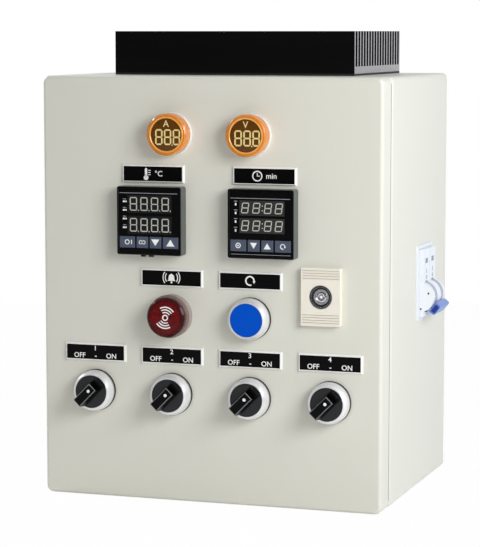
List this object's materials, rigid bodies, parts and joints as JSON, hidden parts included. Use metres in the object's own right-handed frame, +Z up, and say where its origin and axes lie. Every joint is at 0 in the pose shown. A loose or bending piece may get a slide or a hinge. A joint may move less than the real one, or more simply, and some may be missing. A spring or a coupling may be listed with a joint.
{
  "type": "oven control panel",
  "caption": "Steel control box with a hinged, lockable door carrying meters, controllers, switches and a buzzer, with a roof heat sink and a side circuit breaker.",
  "frame": {"origin": "middle of the case's flat underside, half way between door front and case back", "axes": "+X to the right seen from the door, +Y from the door to the back, +Z up"},
  "size_m": [0.2725, 0.2082, 0.3313],
  "materials": {
    "case_paint": "powder coat",
    "zinc_steel": "zinc plated",
    "black_aluminium": "black anodised",
    "silver_ring": "satin chrome",
    "black_plastic": "fine matt",
    "black_gloss": "gloss",
    "white_plastic": "satin",
    "toggle_blue": "gloss",
    "cap_blue": "gloss",
    "amber_lens": "gloss",
    "red_lens": "gloss",
    "clear_plastic": "gloss",
    "grey_plastic": "fine matt",
    "key_grey": "satin",
    "cream_plastic": "satin",
    "dark_metal": "satin",
    "rubber": "matt",
    "foam": "matt foam",
    "brass": "satin"
  },
  "bodies": {
    "enclosure": {"enclosure_body": "case_paint", "mounting_plate": "zinc_steel", "plate_studs": "zinc_steel", "plate_nuts": "zinc_steel", "gland_gasket": "rubber", "gland_plate": "zinc_steel", "cable_grommets": "rubber", "gland_screws": "zinc_steel", "heat_sink_gasket": "rubber", "heat_sink": "black_aluminium", "solid_state_relays": "black_plastic", "breaker_housing": "white_plastic", "breaker_rail": "zinc_steel", "breaker_bracket": "zinc_steel", "terminal_rail": "zinc_steel", "terminal_blocks": "grey_plastic", "terminal_end_stops": "grey_plastic", "ground_bar": "brass", "current_transformer": "black_plastic", "pan_screws": "zinc_steel", "hinge_case_leaves": "zinc_steel", "hinge_pins": "zinc_steel"},
    "door": {"door_panel": "case_paint", "door_gasket": "foam", "hinge_door_leaves": "zinc_steel", "lock_housing": "cream_plastic", "lock_clip": "zinc_steel", "meter_housings": "clear_plastic", "meter_lenses": "amber_lens", "alarm_base": "grey_plastic", "alarm_lens": "red_lens", "switch_seals": "rubber", "selector_rings": "silver_ring", "reset_ring": "silver_ring", "panel_nuts": "black_plastic", "contact_blocks": "black_plastic", "legend_plates": "black_gloss", "temperature_case": "black_plastic", "temperature_face": "black_gloss", "timer_case": "black_plastic", "timer_face": "black_gloss", "controller_brackets": "black_plastic"},
    "breaker_toggle": {"breaker_toggle": "toggle_blue"},
    "lock": {"lock_insert": "dark_metal", "lock_cam": "zinc_steel", "lock_cam_screw": "zinc_steel"},
    "reset_cap": {"reset_cap": "cap_blue"},
    "selector_1": {"selector_knob_1": "black_plastic"},
    "selector_2": {"selector_knob_2": "black_plastic"},
    "selector_3": {"selector_knob_3": "black_plastic"},
    "selector_4": {"selector_knob_4": "black_plastic"},
    "temperature_key_1": {"temperature_key_1": "key_grey"},
    "temperature_key_2": {"temperature_key_2": "key_grey"},
    "temperature_key_3": {"temperature_key_3": "key_grey"},
    "temperature_key_4": {"temperature_key_4": "key_grey"},
    "timer_key_1": {"timer_key_1": "key_grey"},
    "timer_key_2": {"timer_key_2": "key_grey"},
    "timer_key_3": {"timer_key_3": "key_grey"},
    "timer_key_4": {"timer_key_4": "key_grey"}
  },
  "joints": [
    {"name": "door_hinge", "type": "hinge", "parent": "enclosure", "child": "door", "pos_m": [-0.1285, -0.07225, 0.15], "axis": [0, 0, -1], "range_deg": [0, 120]},
    {"name": "lock_turn", "type": "hinge", "parent": "door", "child": "lock", "pos_m": [0.0825, -0.094, 0.15], "axis": [0, 1, 0], "range_deg": [0, 90]},
    {"name": "breaker_switch", "type": "hinge", "parent": "enclosure", "child": "breaker_toggle", "pos_m": [0.126, 0.0225, 0.14], "axis": [0, -1, 0], "range_deg": [0, 76]},
    {"name": "reset_press", "type": "slide", "parent": "door", "child": "reset_cap", "axis": [0, 1, 0], "range_m": [0, 0.004], "stiffness_N_per_m": 400, "springref_m": -0.002},
    {"name": "selector_1_turn", "type": "hinge", "parent": "door", "child": "selector_1", "pos_m": [-0.0853, -0.094, 0.0768], "axis": [0, -1, 0], "range_deg": [0, 90]},
    {"name": "selector_2_turn", "type": "hinge", "parent": "door", "child": "selector_2", "pos_m": [-0.0273, -0.094, 0.0768], "axis": [0, -1, 0], "range_deg": [0, 90]},
    {"name": "selector_3_turn", "type": "hinge", "parent": "door", "child": "selector_3", "pos_m": [0.0307, -0.094, 0.0768], "axis": [0, -1, 0], "range_deg": [0, 90]},
    {"name": "selector_4_turn", "type": "hinge", "parent": "door", "child": "selector_4", "pos_m": [0.0887, -0.094, 0.0768], "axis": [0, -1, 0], "range_deg": [0, 90]},
    {"name": "temperature_key_1_press", "type": "slide", "parent": "door", "child": "temperature_key_1", "axis": [0, 1, 0], "range_m": [0, 0.0005], "stiffness_N_per_m": 1000, "springref_m": -0.0003},
    {"name": "temperature_key_2_press", "type": "slide", "parent": "door", "child": "temperature_key_2", "axis": [0, 1, 0], "range_m": [0, 0.0005], "stiffness_N_per_m": 1000, "springref_m": -0.0003},
    {"name": "temperature_key_3_press", "type": "slide", "parent": "door", "child": "temperature_key_3", "axis": [0, 1, 0], "range_m": [0, 0.0005], "stiffness_N_per_m": 1000, "springref_m": -0.0003},
    {"name": "temperature_key_4_press", "type": "slide", "parent": "door", "child": "temperature_key_4", "axis": [0, 1, 0], "range_m": [0, 0.0005], "stiffness_N_per_m": 1000, "springref_m": -0.0003},
    {"name": "timer_key_1_press", "type": "slide", "parent": "door", "child": "timer_key_1", "axis": [0, 1, 0], "range_m": [0, 0.0005], "stiffness_N_per_m": 1000, "springref_m": -0.0003},
    {"name": "timer_key_2_press", "type": "slide", "parent": "door", "child": "timer_key_2", "axis": [0, 1, 0], "range_m": [0, 0.0005], "stiffness_N_per_m": 1000, "springref_m": -0.0003},
    {"name": "timer_key_3_press", "type": "slide", "parent": "door", "child": "timer_key_3", "axis": [0, 1, 0], "range_m": [0, 0.0005], "stiffness_N_per_m": 1000, "springref_m": -0.0003},
    {"name": "timer_key_4_press", "type": "slide", "parent": "door", "child": "timer_key_4", "axis": [0, 1, 0], "range_m": [0, 0.0005], "stiffness_N_per_m": 1000, "springref_m": -0.0003}
  ]
}
